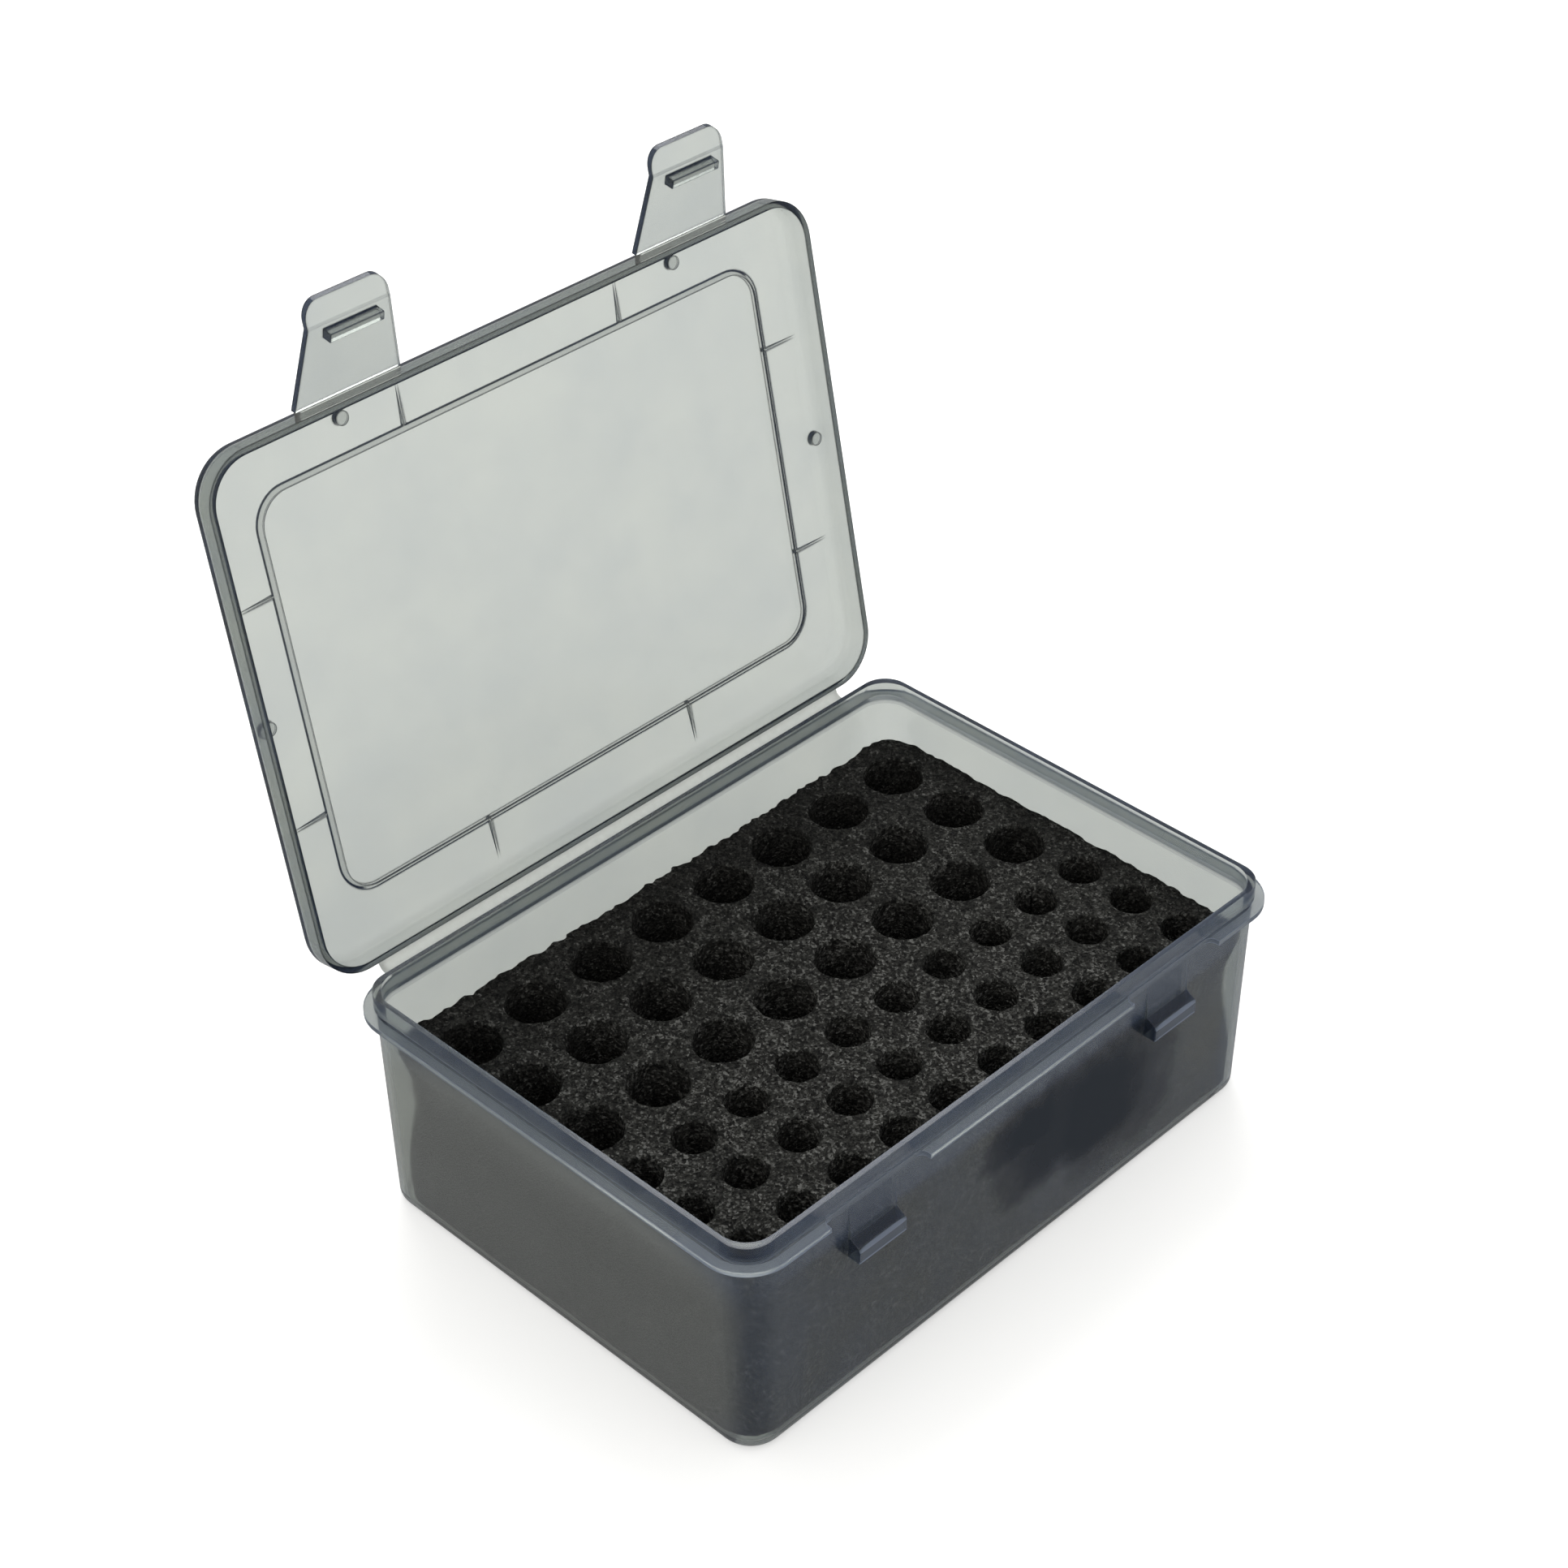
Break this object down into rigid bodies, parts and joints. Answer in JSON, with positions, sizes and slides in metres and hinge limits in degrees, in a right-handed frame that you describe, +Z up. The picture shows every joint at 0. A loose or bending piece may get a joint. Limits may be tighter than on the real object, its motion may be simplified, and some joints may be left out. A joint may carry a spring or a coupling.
{
  "type": "hinged battery storage case",
  "caption": "Translucent hinged storage case with two snap latches and a drilled foam insert that holds large and small round cells upright.",
  "frame": {"origin": "centre of the tub's flat underside", "axes": "+Z up, X along the hinge, -Y towards the latches, lid standing open as pictured"},
  "size_m": [0.1774, 0.1625, 0.2122],
  "materials": {
    "smoky_polypropylene": "translucent, slightly smoky moulded polypropylene",
    "charcoal_foam": "matt open-cell foam, charcoal"
  },
  "bodies": {
    "tub": {"base_tub": "smoky_polypropylene", "foam_insert": "charcoal_foam", "foam_backing": "charcoal_foam", "hinge_film": "smoky_polypropylene"},
    "lid": {"lid_cover": "smoky_polypropylene", "latch_film_left": "smoky_polypropylene", "latch_film_right": "smoky_polypropylene"},
    "left_latch": {"latch_left": "smoky_polypropylene"},
    "right_latch": {"latch_right": "smoky_polypropylene"}
  },
  "joints": [
    {"name": "lid_hinge", "type": "hinge", "parent": "tub", "child": "lid", "pos_m": [0, 0.06609, 0.0573], "axis": [1, 0, 0], "range_deg": [-79.1, 100.9], "deforming": ["hinge_film"]},
    {"name": "left_latch_hinge", "type": "hinge", "parent": "lid", "child": "left_latch", "pos_m": [-0.0489, 0.09199, 0.18596], "axis": [1, 0, 0], "range_deg": [-20, 70], "deforming": ["latch_film_left"]},
    {"name": "right_latch_hinge", "type": "hinge", "parent": "lid", "child": "right_latch", "pos_m": [0.0489, 0.09199, 0.18596], "axis": [1, 0, 0], "range_deg": [-20, 70], "deforming": ["latch_film_right"]}
  ]
}
